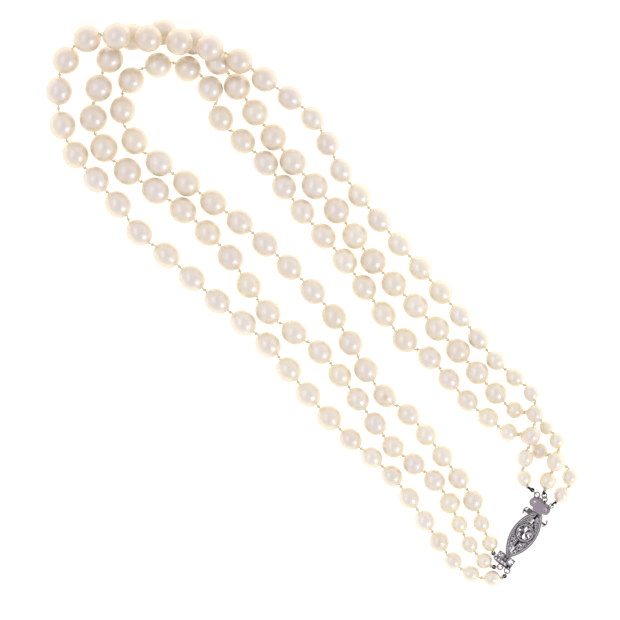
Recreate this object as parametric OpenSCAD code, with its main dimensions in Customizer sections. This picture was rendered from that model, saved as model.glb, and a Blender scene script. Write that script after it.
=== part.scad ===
/* [Pearls] */
// Length of knotted silk that shows between two pearls
knot_gap = 0.9; // [0.8:0.05:1]
// Radius of the hole drilled through every pearl
bore_r = 0.42; // [0.38:0.02:0.44]
// Longest a pearl may be along its hole, for a width of one
longest_oval = 1.28; // [1.2:0.02:1.3]

/* [Thread] */
// Radius of the silk thread
thread_r = 0.2; // [0.16:0.01:0.22]
// Radius of a knot between two pearls
knot_r = 0.34; // [0.28:0.02:0.36]
// Sides of the thread's round section
thread_sides = 6; // [6:1:8]

/* [Clasp] */
// Length of the pointed oval front, tip to tip
clasp_len = 17.6; // [17.4:0.1:17.6]
// Width of the pointed oval front
clasp_w = 7.7; // [7.6:0.1:7.9]
// Thickness of the sheet that the clasp is made of
sheet = 0.3; // [0.28:0.01:0.32]
// Height of the underside of the front above the floor
front_z = 2.2; // [2.2:0.01:2.25]
// Width across the stone in the middle
centre_stone_d = 4.4; // [4.2:0.1:4.5]

/* [End bars] */
// Side of the square setting of a bar stone
collet_side = 2.2; // [2.1:0.05:2.2]
// Width across a bar stone
bar_stone_d = 1.7; // [1.5:0.1:1.8]
// Distance between the two settings of a bar, from middle to middle
collet_pitch = 3.5; // [3.4:0.1:3.6]

/* [Rings] */
// Smallest play between two linked rings
link_play = 0.1; // [0.08:0.01:0.12]

/* [Hidden] */
// Middle of the lying necklace in the plan that the route rows are drawn on
plan_shift = [0, -0.35];

// Route of each strand seen from above, a row for a pearl: pearl number, x, y.
// The pearls between two rows follow a smooth curve through them.
outer_route = [
    [0, 28, 101], [1, 31.5, 95.5], [2, 32.5, 89], [4, 30, 74.5], [6, 27.5, 58],
    [8, 28.5, 41.5], [10, 28, 23], [12, 26, 4], [14, 27.5, -16], [16, 28.5, -36.5],
    [17, 29.5, -47], [18, 28, -57.5], [20, 26.5, -77], [21, 23, -86], [22, 16.5, -94],
    [23, 8.5, -99], [24, -0.5, -99], [26, -13.5, -86], [28, -24.5, -71], [29, -28, -62],
    [30, -29.5, -53], [32, -31.5, -34.5], [34, -26.5, -17.5], [36, -24, 1],
    [38, -22.5, 20], [40, -21, 38.5], [42, -19, 55.5], [44, -19.5, 70],
    [45, -16, 75], [46, -10.5, 79], [47, -4.5, 82.5], [48, 0, 86.5]
];
middle_route = [
    [0, 26, 95.5], [1, 25.5, 89], [2, 23.5, 82.5], [3, 21, 76], [4, 19.5, 68],
    [6, 21, 52], [8, 18.5, 34.5], [10, 16.5, 16.5], [12, 19, -3], [14, 15.5, -22.5],
    [16, 15.5, -42.5], [18, 19, -62.5], [19, 19, -72.5], [20, 15, -81], [22, -1, -90],
    [23, -10.5, -90], [24, -18, -84.5], [25, -22.5, -76], [26, -23.5, -66.5], [28, -20.5, -48],
    [30, -18, -29.5], [32, -17, -10], [34, -14, 8.5], [36, -13.5, 27], [38, -13, 45.5],
    [40, -12, 62.5], [41, -12.5, 70], [42, -15.5, 75], [43, -15.5, 80.5],
    [44, -15, 85.5], [45, -10, 89.5], [46, -4.5, 92]
];
inner_route = [
    [0, 21, 93], [1, 18.5, 87], [2, 15.5, 80.5], [4, 12.5, 64.5], [6, 11, 48.5],
    [7, 12, 39.5], [8, 10.5, 30], [10, 6, 12], [12, 5, -8], [14, 6, -28], [16, 9, -47.5],
    [18, 11, -67.5], [19, 7, -76.5], [20, -1, -81], [21, -10, -78.5], [22, -15.5, -71.5],
    [23, -16, -62.5], [24, -12, -54], [26, -12, -35], [28, -9.5, -17], [30, -8, 2.5],
    [32, -5, 22], [33, -4, 32], [34, -5.5, 41], [36, -4.5, 58], [38, -6.5, 73.5],
    [39, -9.5, 78.5], [40, -9, 84], [41, -11, 89.5], [42, -10, 96], [43, -4.5, 98]
];

// Width of the pearls, graded along each strand: pearl number, width
outer_width = [
    [0, 4.9], [2, 5], [3, 5.8], [8, 6.3], [9, 7.2], [17, 7.4], [24, 8.3], [27, 8.2],
    [32, 6.9], [39, 6.8], [43, 5.3], [44, 4.6], [46, 5.4], [48, 4.5]
];
middle_width = [
    [0, 4.8], [2, 5], [3, 6.3], [7, 6.5], [11, 7.2], [16, 7.7], [19, 8.4], [24, 8.1],
    [27, 8], [33, 7.7], [38, 7.2], [40, 6.5], [41, 5.2], [42, 4.2], [43, 4.3],
    [45, 5.2], [46, 5]
];
inner_width = [
    [0, 4.9], [1, 5], [2, 6.3], [7, 6.6], [8, 7.2], [12, 7.2], [17, 8], [22, 7.9],
    [25, 7.3], [33, 7.1], [35, 6.4], [37, 6], [38, 5.4], [39, 4.4], [41, 5.2], [42, 4.8], [43, 4.8]
];

// Height of a pearl's underside above the floor, where strands lie on each other:
// pearl number, height
outer_lift = [
    [22, 0], [23, 0.8], [24, 3.2], [25, 7.1], [27, 7.6], [28, 7.2], [29, 5.3], [30, 2.6],
    [31, 0.8], [32, 0], [42, 0], [43, 0.6], [44, 2.2], [45, 4.6], [46, 4.6], [47, 2.5],
    [48, 0.6]
];
middle_lift = [[42, 0], [43, 0.5], [44, 2.8], [45, 5.7], [46, 2.6]];
inner_lift = [[0, 0], [43, 0]];

// Middle of the clasp in the plan, and the turn of its length from the X axis
clasp_at = [11.4, 98.25];
clasp_turn = 189;

// Ring sizes: radius to the middle of the wire, radius of the wire
LUG = [0.5, 0.18];
RING = [0.82, 0.17];
LINK = [0.66, 0.13];
GIMP = [0.5, 0.2];

// Chains from the bars to the strands, in the clasp's own axes, a row for a chain:
// lug x, y, z, direction of the pull, the rings in order, the roll of each
fixed_outer = [-11.45, -2.2, 2, 192, [LUG, RING, LINK, GIMP], [90, 0, 90, 0]];
fixed_middle = [-12.05, -0.7, 2, 128, [LUG, RING, LINK, GIMP], [90, 0, 90, 0]];
fixed_inner = [-11.2, 2.65, 1.45, 62, [LUG, LINK, GIMP], [0, 90, 0]];
tongue_outer = [11.2, 2.9, 3.75, 80, [LUG, RING, RING, GIMP], [90, 0, 90, 0]];
tongue_middle = [10.95, 0.5, 3.75, 42, [LUG, RING, RING, GIMP], [115, 30, -35, 50]];
tongue_inner = [10.4, -1.55, 3.75, -5, [LUG, LINK, GIMP], [90, 0, 90]];

// Stones set in one side of the front, mirrored to the other: x, y, width
front_stones = [
    [-6.25, 0.95, 0.8], [-5, 1.3, 1.2], [-3.75, 1, 0.9], [-3.6, 2.15, 0.9],
    [-2.35, 2.5, 0.8], [2.6, 2.2, 0.9], [3.75, 1.35, 1], [5, 1.15, 0.8]
];

pearl_white = [0.93, 0.88, 0.82];
silk = [0.85, 0.76, 0.6];
silver = [0.72, 0.7, 0.74];
tarnished = [0.22, 0.17, 0.15];
diamond = [0.9, 0.93, 0.97, 0.6];

half_len = clasp_len / 2;
// The pointed oval's middle lies a little behind the stone
front_x = -0.45;
half_w = clasp_w / 2;
// Radius of the two arcs that the pointed oval is made of
side_arc_r = (half_len * half_len + half_w * half_w) / (2 * half_w);
front_top = front_z + 2 * sheet;
rim_top = front_top + 0.2;
// The case stops here, and the tongue goes in
mouth_x = 5;
girdle_z = front_top + 0.2;
bezel_r = centre_stone_d / 2 + 0.4;
bezel_top = girdle_z + 0.65;
slot_w = 0.5;
// Play of a small stone in its seat
seat_play = 0.06;
// The fixed bar's two settings lie a little to one side of the clasp's length
bar_z = 1.2;
bar_y = 0.1;
collet_x = 9.6;
collet_top = 2.9;
// The tongue's bar lies face down, over the tip of the front
tongue_plate_z = rim_top + 0.15;
tongue_bar_y = 1.1;
tongue_collet_x = 9.55;
lobe_x = 9.1;
tongue_collet_z = 1.4;
tongue_z = front_z - 0.45;
// Fold of the tongue's spring, which it bends about
fold = [2.2, 0, 1.2];
spring_slope = 9;
ear_r = 1.5;
gimp_out = GIMP[0] + GIMP[1] + 0.5;

// Curve through the route rows
function row_before(t, n, k = 0) =
    (k >= len(t) - 2 || n < t[k + 1][0]) ? k : row_before(t, n, k + 1);
function plan_point(t, k) = [t[k][1], t[k][2]];
function plan_slope(t, k) =
    let (a = max(k - 1, 0), b = min(k + 1, len(t) - 1))
    (plan_point(t, b) - plan_point(t, a)) / (t[b][0] - t[a][0]);
function plan_place(t, n) =
    let (
        k = row_before(t, n),
        span = t[k + 1][0] - t[k][0],
        u = (n - t[k][0]) / span
    )
    (2 * pow(u, 3) - 3 * pow(u, 2) + 1) * plan_point(t, k)
    + (pow(u, 3) - 2 * pow(u, 2) + u) * span * plan_slope(t, k)
    + (3 * pow(u, 2) - 2 * pow(u, 3)) * plan_point(t, k + 1)
    + (pow(u, 3) - pow(u, 2)) * span * plan_slope(t, k + 1);

function unit(v) = v / norm(v);

// A strand is [route, widths, lifts, the chain at each end]
outer = [outer_route, outer_width, outer_lift, fixed_outer, tongue_outer];
middle = [middle_route, middle_width, middle_lift, fixed_middle, tongue_middle];
inner = [inner_route, inner_width, inner_lift, fixed_inner, tongue_inner];

function count(s) = s[0][len(s[0]) - 1][0] + 1;
function width(s, i) = lookup(i, s[1]);
function centre(s, i) =
    let (p = plan_place(s[0], i))
    [p.x, p.y, lookup(i, s[2]) + width(s, i) / 2];

// Chains: each ring hangs in the one before, pulled straight
function link_step(a, b) = a[0] + b[0] - a[1] - b[1] - link_play;
function chain_run(c, k) = k == 0 ? 0 : chain_run(c, k - 1) + link_step(c[4][k - 1], c[4][k]);
function chain_place(c, k) = [
    c[0] + chain_run(c, k) * cos(c[3]),
    c[1] + chain_run(c, k) * sin(c[3]),
    c[2]
];
function to_plan(p) = [
    clasp_at.x + p.x * cos(clasp_turn) - p.y * sin(clasp_turn),
    clasp_at.y + p.x * sin(clasp_turn) + p.y * cos(clasp_turn),
    p.z
];
function gimp_place(c) = to_plan(chain_place(c, len(c[4]) - 1));

// Points that the string goes through: the gimps at its ends and every pearl
function string_point(s, i) =
    i < 0 ? gimp_place(s[3]) : i >= count(s) ? gimp_place(s[4]) : centre(s, i);
function reach(s, i) = norm(string_point(s, i + 1) - string_point(s, i));
// A pearl is drilled halfway between the directions of its two neighbours
function drill(s, i) =
    unit(
        unit(string_point(s, i + 1) - string_point(s, i))
        + unit(string_point(s, i) - string_point(s, i - 1))
    );
// Room for a pearl between its knots, or between a knot and the gimp at an end
function room(s, i) =
    i == 0 ? min(reach(s, 0) - knot_gap, 2 * (reach(s, -1) - gimp_out))
    : i == count(s) - 1 ? min(reach(s, i - 1) - knot_gap, 2 * (reach(s, i) - gimp_out))
    : min(
        (reach(s, i - 1) + reach(s, i)) / 2,
        min(reach(s, i - 1), reach(s, i)) + 0.4
    ) - knot_gap;
// A pearl is as long as its room, but not shorter than round or longer than oval
function pearl_len(s, i) =
    let (w = width(s, i), l = min(longest_oval * w, room(s, i)))
    l < w + 0.1 ? w : l;

// Profile of an oval pearl beside its drill hole: round caps, and between them a
// waist of straight bands laid on one long arc
module oval_profile(w, l) {
    cap_r = w / 2 - 0.2 * (l - w);
    cap_x = l / 2 - cap_r;
    for (side = [-1, 1])
        translate([0, side * cap_x])
            circle(cap_r, $fn = 72);
    if (l > w) {
        arc_r = (cap_x * cap_x + w * w / 4 - cap_r * cap_r) / (w - 2 * cap_r);
        half_turn = atan2(cap_x, arc_r - w / 2);
        polygon([
            for (k = [0 : 5])
                let (
                    turn = half_turn * (0.4 * k - 1),
                    r = k == 0 || k == 5 ? 0.99 * arc_r : arc_r
                )
                [w / 2 - arc_r + r * cos(turn), r * sin(turn)],
            [0, 0.99 * arc_r * sin(half_turn)],
            [0, -0.99 * arc_r * sin(half_turn)]
        ]);
    }
}

module drilled_pearl(w, l) {
    rotate_extrude($fn = 48)
        intersection() {
            oval_profile(w, l);
            translate([bore_r, -l])
                square([w, 2 * l]);
        }
}

module point_along(d) {
    rotate([0, acos(d.z), atan2(d.y, d.x)])
        children();
}

module pearls(s) {
    color(pearl_white)
        for (i = [0 : count(s) - 1])
            translate(centre(s, i))
                point_along(drill(s, i))
                    drilled_pearl(width(s, i), pearl_len(s, i));
}

// The thread's stops: [point, radius], one just outside each end of a pearl's hole,
// so that it leaves the hole straight, and one in each knot
function entry(s, i) = centre(s, i) - drill(s, i) * (pearl_len(s, i) / 2 + 0.08);
function exit(s, i) = centre(s, i) + drill(s, i) * (pearl_len(s, i) / 2 + 0.08);
function beside_gimp(s, i, from) =
    string_point(s, i)
    + (GIMP[0] + GIMP[1] + link_play) * unit(from - string_point(s, i));
// A knot fills most of its gap, up to knot_r
function knot(s, i) =
    let (a = exit(s, i), b = entry(s, i + 1))
    [(a + b) / 2, max(thread_r, min(knot_r, 0.45 * norm(b - a)))];
function thread_stops(s) =
    let (n = count(s))
    concat(
        [[beside_gimp(s, -1, entry(s, 0)), knot_r]],
        [for (i = [0 : n - 1])
            each [
                [entry(s, i), thread_r],
                [exit(s, i), thread_r],
                i < n - 1 ? knot(s, i) : [beside_gimp(s, n, exit(s, n - 1)), knot_r]
            ]]
    );

// Round tube through the stops
module swept_tube(stops, sides) {
    n = len(stops);
    rings = [for (j = [0 : n - 1])
        let (
            ahead = unit(stops[min(j + 1, n - 1)][0] - stops[max(j - 1, 0)][0]),
            side = unit(cross(ahead, [0, 0, 1])),
            up = cross(side, ahead)
        )
        each [for (k = [0 : sides - 1])
            stops[j][0] + stops[j][1]
                * (cos(360 * k / sides) * side + sin(360 * k / sides) * up)]];
    start_cap = [for (k = [sides - 1 : -1 : 0]) k];
    end_cap = [for (k = [0 : sides - 1]) (n - 1) * sides + k];
    walls = [for (j = [0 : n - 2], k = [0 : sides - 1])
        let (a = j * sides + k, b = j * sides + (k + 1) % sides)
        each [[a, b + sides, a + sides], [a, b, b + sides]]];
    polyhedron(rings, concat([start_cap], walls, [end_cap]), convexity = 4);
}

module thread(s) {
    color(silk)
        swept_tube(thread_stops(s), thread_sides);
}

module at_clasp() {
    translate([clasp_at.x, clasp_at.y, 0])
        rotate(clasp_turn)
            children();
}

// Outline of the front, a pointed oval of two arcs, drawn in from its edge
module pointed_oval(inset = 0) {
    intersection_for (side = [-1, 1])
        translate([front_x, side * (side_arc_r - half_w)])
            circle(side_arc_r - inset, $fn = 240);
}

module torus(size) {
    rotate_extrude($fn = 32)
        translate([size[0], 0])
            circle(size[1], $fn = 16);
}

module chain_piece(c, k) {
    translate(chain_place(c, k))
        rotate(c[3])
            rotate([c[5][k], 0, 0])
                torus(c[4][k]);
}

module before_mouth() {
    intersection() {
        children();
        translate([-clasp_len, -clasp_w])
            square([clasp_len + mouth_x, 2 * clasp_w]);
    }
}

// Case under the front: a floor with a wall round it, open at the mouth
module case() {
    linear_extrude(sheet)
        before_mouth()
            pointed_oval(sheet);
    linear_extrude(front_z + sheet / 2)
        before_mouth()
            difference() {
                pointed_oval(sheet);
                pointed_oval(2 * sheet);
            }
}

module front_solid() {
    translate([0, 0, front_z])
        linear_extrude(sheet)
            pointed_oval();
    translate([0, 0, front_z + sheet / 2])
        linear_extrude(1.5 * sheet)
            pointed_oval(0.45);
    translate([0, 0, front_z + sheet])
        linear_extrude(rim_top - front_z - sheet)
            difference() {
                pointed_oval(0.4);
                pointed_oval(0.65);
            }
    translate([0, 0, front_z])
        cylinder(h = bezel_top - front_z, r = bezel_r, $fn = 64);
}

module slot(x0, x1, y) {
    translate([x0, y - slot_w / 2, front_z - 0.1])
        cube([x1 - x0, slot_w, 2]);
}

module front() {
    difference() {
        front_solid();
        // Seat of the middle stone, and the open hole under it
        translate([0, 0, girdle_z - 0.05])
            cylinder(h = 2, r = centre_stone_d / 2 + 0.08, $fn = 64);
        translate([0, 0, front_z - 0.1])
            cylinder(h = 2, r = centre_stone_d / 2 - 0.1, $fn = 64);
        slot(-7.1, -3.1, 0.1);
        slot(3.3, 6.5, 0.2);
        for (f = front_stones, side = [-1, 1])
            translate([f.x, side * f.y, front_z - 0.1])
                cylinder(h = 2, r = f.z / 2 + seat_play, $fn = 32);
    }
}

module collet(x, y, z0, z1) {
    translate([x - collet_side / 2, y - collet_side / 2, z0])
        cube([collet_side, collet_side, z1 - z0]);
}

// Bar soldered to the tip of the front, face up
module fixed_bar() {
    difference() {
        union() {
            translate([-12, -2.8, bar_z])
                cube([3.4, 4.95, 0.5]);
            translate([-10.7, 0, bar_z])
                cube([2.1, 2.9, 0.5]);
            for (side = [-1, 1])
                collet(-collet_x, bar_y + side * collet_pitch / 2, bar_z, collet_top);
            // Pierced gallery between the settings and the lugs
            translate([-11.5, -1.3, bar_z])
                cube([0.85, 3.5, 1.1]);
            // Eye at the tip of the front, over the bar
            translate([-8.4, 0, bar_z])
                cylinder(h = front_top - bar_z, r = 0.7, $fn = 32);
        }
        for (side = [-1, 1])
            translate([-collet_x, bar_y + side * collet_pitch / 2, bar_z + 0.2])
                cylinder(h = 2, r = bar_stone_d / 2 + seat_play, $fn = 32);
        for (k = [-1 : 1])
            translate([-11.07, 0.45 + 1.1 * k, bar_z - 0.1])
                cylinder(h = 2, r = 0.26, $fn = 24);
    }
    chain_piece(fixed_outer, 0);
    chain_piece(fixed_middle, 0);
    chain_piece(fixed_inner, 0);
}

module clasp_body() {
    color(silver)
        at_clasp() {
            difference() {
                union() {
                    case();
                    front();
                    fixed_bar();
                }
                // Hole of the eye, down through the bar
                translate([-8, 0, bar_z - 0.1])
                    cylinder(h = 2, r = 0.26, $fn = 24);
            }
        }
}

// Back of the tongue's bar: two round lobes joined over the tip of the front
module tongue_plate() {
    for (side = [-1, 1])
        translate([lobe_x, tongue_bar_y + side * 2])
            circle(1.5, $fn = 48);
    translate([8, tongue_bar_y - 2.2])
        square([2.95, 4.4]);
    translate([10.2, 1.5])
        square([1.05, 1.8]);
    translate([7, -0.55])
        square([1.4, 3.1]);
}

module tongue_bar() {
    color(silver)
        at_clasp() {
            difference() {
                union() {
                    translate([0, 0, tongue_plate_z])
                        linear_extrude(sheet)
                            tongue_plate();
                    for (side = [-1, 1])
                        collet(tongue_collet_x, tongue_bar_y + side * 2, tongue_collet_z,
                            tongue_plate_z + sheet / 2);
                    // Neck down to the tongue, past the tip of the front
                    translate([8.5, 0.5, tongue_z])
                        cube([0.4, 1.4, tongue_plate_z - tongue_z + sheet / 2]);
                    translate([6.2, 0.5, tongue_z])
                        cube([2.7, 1.4, sheet]);
                    translate([1.9, -1, tongue_z])
                        cube([5.2, 2, sheet]);
                    // Rolled end, where the spring is folded back
                    translate([1.9, 1, tongue_z])
                        rotate([90, 0, 0])
                            cylinder(h = 2, r = sheet, $fn = 24);
                }
                for (side = [-1, 1])
                    translate([tongue_collet_x, tongue_bar_y + side * 2, tongue_collet_z - 0.1]) {
                        cylinder(h = 1.5, r = bar_stone_d / 2 + seat_play, $fn = 32);
                        translate([lobe_x - tongue_collet_x, 0, 0.6])
                            cylinder(h = 2.4, r = 0.45, $fn = 24);
                    }
            }
            chain_piece(tongue_outer, 0);
            chain_piece(tongue_middle, 0);
            chain_piece(tongue_inner, 0);
        }
}

// Curved finger tab on the end of an arm, standing up
module ear(x, y) {
    hollow = -ear_r * sign(y);
    translate([x, y, -sheet / 2])
        linear_extrude(1.3)
            difference() {
                translate([0, hollow])
                    circle(ear_r, $fn = 48);
                translate([0, hollow])
                    circle(ear_r - sheet, $fn = 48);
                translate([-2, y > 0 ? -3.75 : 0.75])
                    square([4, 3]);
            }
}

// Spring leaf under the tongue, with an arm and a finger tab on each side
module release_spring() {
    color(silver)
        at_clasp()
            translate(fold)
                rotate([0, spring_slope, 0]) {
                    translate([0, -0.9, -sheet / 2])
                        cube([4.1, 1.8, sheet]);
                    translate([2.98, -3.65, -sheet / 2])
                        cube([0.6, 7.9, sheet]);
                    translate([2.98, 1.2, -sheet / 2])
                        cube([1.7, 2.2, sheet]);
                    ear(3.3, 4.5);
                    ear(3.5, -3.85);
                }
}

// Cut stone on its girdle: a table, a crown, a pavilion and a small culet
module cut_stone(d, sides) {
    r = d / 2;
    table = [for (k = [0 : sides - 1])
        [0.56 * r * cos(360 * k / sides), 0.56 * r * sin(360 * k / sides), 0.32 * r]];
    girdle = [for (k = [0 : 2 * sides - 1])
        [r * cos(180 * k / sides), r * sin(180 * k / sides), 0]];
    culet = [for (k = [0 : sides - 1])
        [0.08 * r * cos(360 * k / sides), 0.08 * r * sin(360 * k / sides), -0.84 * r]];
    g = sides;
    c = 3 * sides;
    facets = [for (k = [0 : sides - 1])
        let (next = (k + 1) % sides, mid = g + 2 * k + 1, last = g + (2 * k + 2) % (2 * sides))
        each [
            [k, mid, g + 2 * k], [k, next, mid], [next, last, mid],
            [c + k, g + 2 * k, mid], [c + k, mid, c + next], [c + next, mid, last]
        ]];
    polyhedron(
        concat(table, girdle, culet),
        concat(
            [[for (k = [sides - 1 : -1 : 0]) k]],
            facets,
            [[for (k = [0 : sides - 1]) c + k]]
        )
    );
}

module centre_stone() {
    color(diamond)
        at_clasp()
            translate([0, 0, girdle_z + 0.12])
                cut_stone(centre_stone_d, 8);
}

module front_stones() {
    color(diamond)
        at_clasp()
            for (f = front_stones, side = [-1, 1])
                translate([f.x, side * f.y, front_top - 0.05])
                    cut_stone(f.z, 6);
}

module fixed_bar_stones() {
    color(diamond)
        at_clasp()
            for (side = [-1, 1])
                translate([-collet_x, bar_y + side * collet_pitch / 2, collet_top - 0.2])
                    cut_stone(bar_stone_d, 8);
}

module tongue_bar_stones() {
    color(diamond)
        at_clasp()
            for (side = [-1, 1])
                translate([tongue_collet_x, tongue_bar_y + side * 2, tongue_collet_z + 0.35])
                    rotate([180, 0, 0])
                        cut_stone(bar_stone_d, 8);
}

module ring(c, k) {
    color(silver)
        at_clasp()
            chain_piece(c, k);
}

module gimp(c) {
    color(tarnished)
        at_clasp()
            chain_piece(c, len(c[4]) - 1);
}

module in_plan() {
    translate([plan_shift.x, plan_shift.y, 0])
        children();
}

in_plan() pearls(outer);  // pearls_outer
in_plan() pearls(middle);  // pearls_middle
in_plan() pearls(inner);  // pearls_inner
in_plan() thread(outer);  // thread_outer
in_plan() thread(middle);  // thread_middle
in_plan() thread(inner);  // thread_inner
in_plan() clasp_body();
in_plan() centre_stone();
in_plan() front_stones();
in_plan() fixed_bar_stones();
in_plan() tongue_bar();
in_plan() tongue_bar_stones();
in_plan() release_spring();
in_plan() ring(fixed_outer, 1);  // ring_fixed_outer
in_plan() ring(fixed_outer, 2);  // link_fixed_outer
in_plan() gimp(fixed_outer);  // gimp_fixed_outer
in_plan() ring(fixed_middle, 1);  // ring_fixed_middle
in_plan() ring(fixed_middle, 2);  // link_fixed_middle
in_plan() gimp(fixed_middle);  // gimp_fixed_middle
in_plan() ring(fixed_inner, 1);  // link_fixed_inner
in_plan() gimp(fixed_inner);  // gimp_fixed_inner
in_plan() ring(tongue_outer, 1);  // ring_tongue_outer
in_plan() ring(tongue_outer, 2);  // second_ring_tongue_outer
in_plan() gimp(tongue_outer);  // gimp_tongue_outer
in_plan() ring(tongue_middle, 1);  // ring_tongue_middle
in_plan() ring(tongue_middle, 2);  // second_ring_tongue_middle
in_plan() gimp(tongue_middle);  // gimp_tongue_middle
in_plan() ring(tongue_inner, 1);  // link_tongue_inner
in_plan() gimp(tongue_inner);  // gimp_tongue_inner
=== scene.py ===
# %% [markdown]
# A necklace of three graded strands of knotted pearls, joined by a stone-set clasp.
# The construction comes from CAD: every pearl, ring and metal part is already there
# at its real size. This lesson dresses it. Each step says first what the piece is on
# the real necklace, how it could be made in Blender, and why it is made this way.

# %% Load the construction
import math

import bmesh
import bpy
import numpy as np
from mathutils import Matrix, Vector


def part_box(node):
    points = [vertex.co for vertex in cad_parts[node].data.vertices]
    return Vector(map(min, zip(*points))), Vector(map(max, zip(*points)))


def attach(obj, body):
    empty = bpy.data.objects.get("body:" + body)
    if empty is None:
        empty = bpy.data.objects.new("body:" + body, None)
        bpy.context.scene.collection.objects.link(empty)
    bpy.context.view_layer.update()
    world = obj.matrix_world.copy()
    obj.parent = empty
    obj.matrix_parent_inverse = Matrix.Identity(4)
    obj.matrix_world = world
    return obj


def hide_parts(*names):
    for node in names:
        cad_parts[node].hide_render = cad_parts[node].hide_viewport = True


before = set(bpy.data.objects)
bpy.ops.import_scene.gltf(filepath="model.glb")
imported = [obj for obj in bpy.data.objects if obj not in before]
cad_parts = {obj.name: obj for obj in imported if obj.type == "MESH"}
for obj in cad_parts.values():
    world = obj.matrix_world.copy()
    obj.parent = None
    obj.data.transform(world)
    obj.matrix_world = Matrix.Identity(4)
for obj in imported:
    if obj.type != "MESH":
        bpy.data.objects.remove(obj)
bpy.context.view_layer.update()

MM = 0.001
BODY = "necklace"
strands = ("outer", "middle", "inner")

# %% [markdown]
# Shader maths. A material's pattern is worked out by nodes, and long node trees are
# hard to read as clicks or as link calls. So a socket is wrapped in a small class
# whose operators add the nodes: `1 - mask * 0.5` is then a piece of the node tree.
# Numbers go through Math nodes, vectors through Vector Math, and colours through Mix,
# because a Math node would turn a colour grey.


# %% A socket that Python's operators work on
class Field:
    """A value that changes over a surface."""

    def __init__(self, nodes, socket):
        self.nodes = nodes
        self.socket = socket

    def maths(self, operation, first, second=None):
        kinds = {v.socket.type for v in (first, second) if isinstance(v, Field)}
        if "RGBA" in kinds:
            settings = {"data_type": "RGBA", "blend_type": operation}
            inputs = {"Factor": 1.0, "A": first, "B": second}
            return self.nodes.node("ShaderNodeMix", settings, inputs)
        kind = "ShaderNodeVectorMath" if "VECTOR" in kinds else "ShaderNodeMath"
        inputs = {0: first} if second is None else {0: first, 1: second}
        return self.nodes.node(kind, {"operation": operation}, inputs)

    def __add__(self, other):
        return self.maths("ADD", self, other)

    def __radd__(self, other):
        return self.maths("ADD", other, self)

    def __sub__(self, other):
        return self.maths("SUBTRACT", self, other)

    def __rsub__(self, other):
        return self.maths("SUBTRACT", other, self)

    def __mul__(self, other):
        return self.maths("MULTIPLY", self, other)

    def __rmul__(self, other):
        return self.maths("MULTIPLY", other, self)

    def __truediv__(self, other):
        return self.maths("DIVIDE", self, other)

    def __rtruediv__(self, other):
        return self.maths("DIVIDE", other, self)

    def __pow__(self, other):
        return self.maths("POWER", self, other)

    def __rpow__(self, other):
        return self.maths("POWER", other, self)

    def unsigned(self):
        """The value without its sign."""
        return self.maths("ABSOLUTE", self)

    def ramp(self, low, high):
        """0 below low, 1 above high, and smooth between them."""
        settings = {"interpolation_type": "SMOOTHSTEP"}
        inputs = {"Value": self, "From Min": low, "From Max": high}
        return self.nodes.node("ShaderNodeMapRange", settings, inputs)

    def tint(self, dark, light):
        """The colour dark where the value is 0, and light where it is 1."""
        inputs = {"Factor": self, "A": dark, "B": light}
        return self.nodes.node("ShaderNodeMix", {"data_type": "RGBA"}, inputs)


print("operators on a socket:", [n for n in vars(Field) if n.endswith("_")])

# %% [markdown]
# Adding nodes. Every other node comes from one method. It sets what the node is, such
# as a Math node's operation or a ramp's stops, before its sockets, because a setting
# can change which sockets there are. A world has nodes as a material has, so the
# method stands in a class that both can use.


# %% One way to add a node
class NodeTree:
    """Adds nodes to a material's or a world's tree."""

    def __init__(self, tree):
        self.tree = tree

    def connect(self, socket, value):
        """Links a field to a socket, or sets the socket to a number or a colour."""
        if isinstance(value, Field):
            self.tree.links.new(value.socket, socket)
            return
        if socket.type in ("VECTOR", "RGBA") and isinstance(value, (int, float)):
            value = (value,) * 3
        if socket.type == "RGBA" and len(value) == 3:
            value = (*value, 1.0)
        socket.default_value = value

    def node(self, kind, settings=None, inputs=None, output=None):
        """Any node: its settings first, then the values or links of its sockets."""
        made = self.tree.nodes.new(kind)
        settings = dict(settings or {})
        stops = settings.pop("stops", ())
        for name, value in settings.items():
            setattr(made, name, value)
        for k, (place, colour) in enumerate(stops):
            elements = made.color_ramp.elements
            stop = elements[k] if k < len(elements) else elements.new(place)
            stop.position = place
            stop.color = (*colour, 1.0)
        for name, value in (inputs or {}).items():
            fitting = [s for s in made.inputs if s.enabled and s.name == name]
            self.connect(made.inputs[name] if isinstance(name, int) else fitting[0], value)
        shown = [s for s in made.outputs if s.enabled]
        return Field(self, made.outputs[output] if output else shown[0])

    def place(self):
        """The point on the surface, in the object's own axes, in metres."""
        return self.node("ShaderNodeTexCoord", output="Object")

    def mark(self, name):
        """A number kept on the mesh's own points or faces."""
        return self.node("ShaderNodeAttribute", {"attribute_name": name}, output="Fac")

    def noise(self, scale, detail=2.0, roughness=0.5):
        """A cloudy pattern from 0 to 1, with scale lumps in a metre."""
        inputs = {
            "Vector": self.place(),
            "Scale": scale,
            "Detail": detail,
            "Roughness": roughness,
        }
        return self.node("ShaderNodeTexNoise", inputs=inputs)

    def closeness(self, distance, inside=False, alone=False):
        """1 on an open flat surface, less where other surfaces are near.

        Looking inside the solid instead, it is less near the solid's own edges.
        Alone leaves other objects out, such as the floor."""
        settings = {"samples": 8, "inside": inside, "only_local": inside or alone}
        return self.node("ShaderNodeAmbientOcclusion", settings, {"Distance": distance}, "AO")


print("ready-made fields:", [n for n in vars(NodeTree) if n[0] != "_"])
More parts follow.
